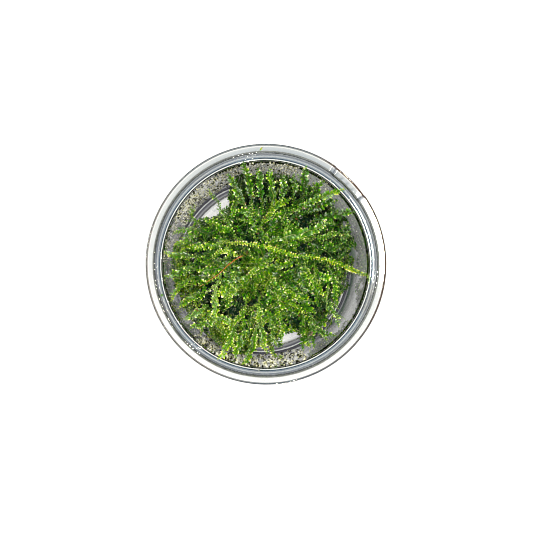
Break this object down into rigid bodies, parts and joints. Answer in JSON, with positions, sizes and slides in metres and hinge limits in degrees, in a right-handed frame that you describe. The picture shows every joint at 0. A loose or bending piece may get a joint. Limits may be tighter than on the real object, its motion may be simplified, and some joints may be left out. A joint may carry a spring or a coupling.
{
  "type": "moss clump in a clear cup",
  "caption": "Tangle of small-leaved green moss shoots in a clear, open, tapered plastic culture cup with a rolled rim and a lid-lift notch.",
  "frame": {"origin": "on the cup's axis, in the plane of its foot", "axes": "+Z up along the cup's axis; +X right and +Y up as the picture shows the cup from above"},
  "size_m": [0.095, 0.095, 0.054],
  "materials": {
    "clear_plastic": "clear, glossy thin-walled plastic",
    "moss_mat": null,
    "moss_leaf": null,
    "moss_tip": null,
    "red_stem": null
  },
  "bodies": {
    "root": {"cup": "clear_plastic", "moss_mat": "moss_mat", "long_shoot": "moss_tip", "notch_shoot": "moss_tip", "red_stem": "red_stem", "rim_shoot_01": "moss_tip", "rim_shoot_02": "moss_tip", "rim_shoot_03": "moss_tip", "rim_shoot_04": "moss_tip", "rim_shoot_05": "moss_tip", "rim_shoot_06": "moss_tip", "rim_shoot_07": "moss_tip", "rim_shoot_08": "moss_tip", "rim_shoot_09": "moss_tip", "rim_shoot_10": "moss_tip", "rim_shoot_11": "moss_tip", "rim_shoot_12": "moss_tip", "rim_shoot_13": "moss_tip", "rim_shoot_14": "moss_tip", "rim_shoot_15": "moss_tip", "rim_shoot_16": "moss_tip", "rim_shoot_17": "moss_tip", "rim_shoot_18": "moss_tip", "rim_shoot_19": "moss_tip", "rim_shoot_20": "moss_tip", "rim_shoot_21": "moss_tip", "rim_shoot_22": "moss_tip", "rim_shoot_23": "moss_tip", "rim_shoot_24": "moss_tip", "rim_shoot_25": "moss_tip", "rim_shoot_26": "moss_tip", "rim_shoot_27": "moss_tip", "rim_shoot_28": "moss_tip", "rim_shoot_29": "moss_tip", "rim_shoot_30": "moss_tip", "rim_shoot_31": "moss_tip", "top_shoot_01": "moss_leaf", "top_shoot_02": "moss_leaf", "top_shoot_03": "moss_leaf", "top_shoot_04": "moss_leaf", "top_shoot_05": "moss_leaf", "top_shoot_06": "moss_leaf", "top_shoot_07": "moss_leaf", "top_shoot_08": "moss_leaf", "top_shoot_09": "moss_leaf", "top_shoot_10": "moss_leaf", "top_shoot_11": "moss_leaf", "top_shoot_12": "moss_leaf", "top_shoot_13": "moss_leaf", "top_shoot_14": "moss_leaf", "top_shoot_15": "moss_leaf", "top_shoot_16": "moss_leaf", "top_shoot_17": "moss_leaf"}
  },
  "joints": []
}
